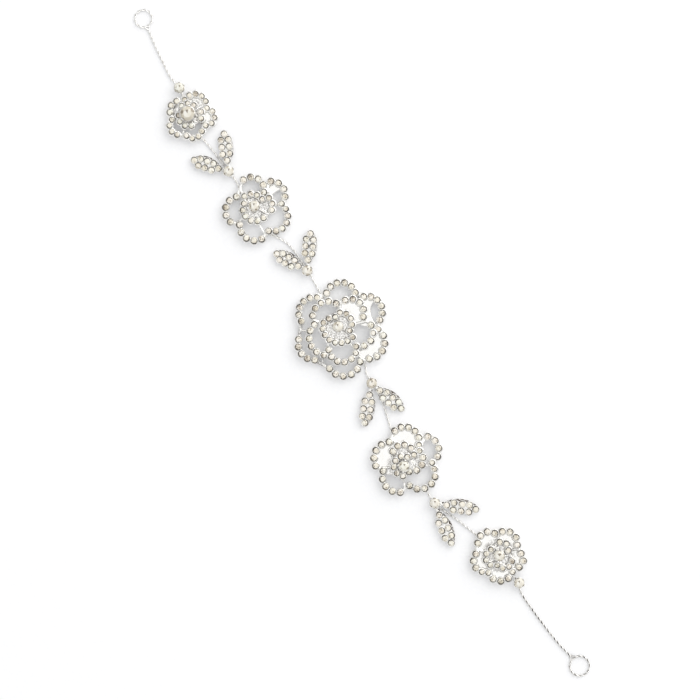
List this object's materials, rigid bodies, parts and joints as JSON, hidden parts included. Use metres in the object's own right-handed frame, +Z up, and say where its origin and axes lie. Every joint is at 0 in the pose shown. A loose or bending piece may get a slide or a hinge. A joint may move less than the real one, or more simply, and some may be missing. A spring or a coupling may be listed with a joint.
{
  "type": "flexible hair vine headband",
  "caption": "Flexible bridal headband vine: pierced rose castings and leaf pairs set with clear stones on twisted silver wire, with a wire loop at each end.",
  "frame": {"origin": "middle of the whole piece's box in plan, on the surface that it lies on", "axes": "+X from the small left end loop to the larger right end loop, +Y across the piece, +Z up out of the stones' faces"},
  "size_m": [0.2564, 0.0334, 0.006],
  "materials": {
    "silver_casting": "bright polished silver plating",
    "silver_wire": "bright silver-plated twisted wire",
    "small_crystal": "clear faceted glass with foil behind it",
    "large_crystal": "clear faceted glass with foil behind it"
  },
  "bodies": {
    "root": {"rose_1_setting": "silver_casting", "rose_2_setting": "silver_casting", "rose_3_setting": "silver_casting", "rose_4_setting": "silver_casting", "rose_5_setting": "silver_casting", "leaf_pair_1": "silver_casting", "leaf_pair_2": "silver_casting", "leaf_pair_3": "silver_casting", "leaf_pair_4": "silver_casting", "end_setting_a": "silver_casting", "end_setting_b": "silver_casting", "rose_1_stones": "small_crystal", "rose_2_stones": "small_crystal", "rose_3_stones": "small_crystal", "rose_4_stones": "small_crystal", "rose_5_stones": "small_crystal", "rose_1_centre_stone": "large_crystal", "rose_2_centre_stone": "large_crystal", "rose_3_centre_stone": "large_crystal", "rose_4_centre_stone": "large_crystal", "rose_5_centre_stone": "large_crystal", "leaf_stone_1": "large_crystal", "leaf_stone_2": "large_crystal", "leaf_stone_3": "large_crystal", "leaf_stone_4": "large_crystal", "end_stone_a": "large_crystal", "end_stone_b": "large_crystal", "wire_tail_a": "silver_wire", "wire_link_1": "silver_wire", "wire_link_2": "silver_wire", "wire_link_3": "silver_wire", "wire_link_4": "silver_wire", "wire_tail_b": "silver_wire"}
  },
  "joints": []
}
